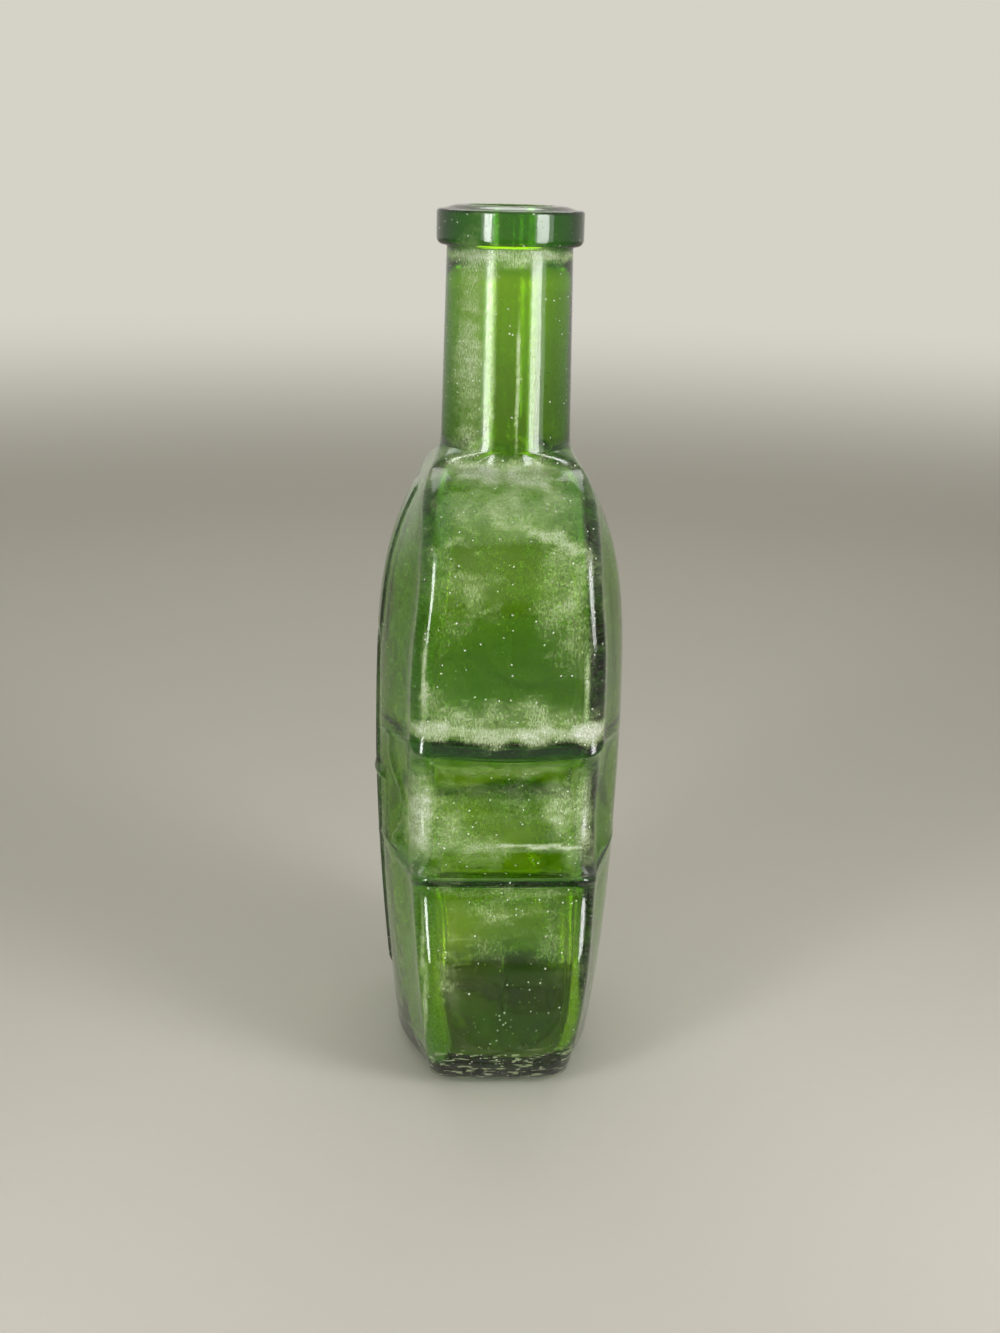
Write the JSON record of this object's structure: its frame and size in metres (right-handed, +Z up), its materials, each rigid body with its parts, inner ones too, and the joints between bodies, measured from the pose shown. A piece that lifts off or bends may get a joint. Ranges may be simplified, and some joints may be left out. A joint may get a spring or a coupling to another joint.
{
  "type": "violin-shaped glass bottle",
  "caption": "Violin-shaped moulded glass bottle with arched front and back, drawn-in waist, plain round neck and a ring lip; open at the mouth.",
  "frame": {"origin": "middle of the foot, at the height of the surface that the bottle stands on", "axes": "+Z up along the neck; X across the width of the violin outline; the front with the low relief faces -Y"},
  "size_m": [0.088, 0.0595, 0.203],
  "materials": {
    "green_glass": "clear green moulded glass, glossy, with a dried whitish haze inside"
  },
  "bodies": {
    "root": {"bottle_glass": "green_glass"}
  },
  "joints": []
}
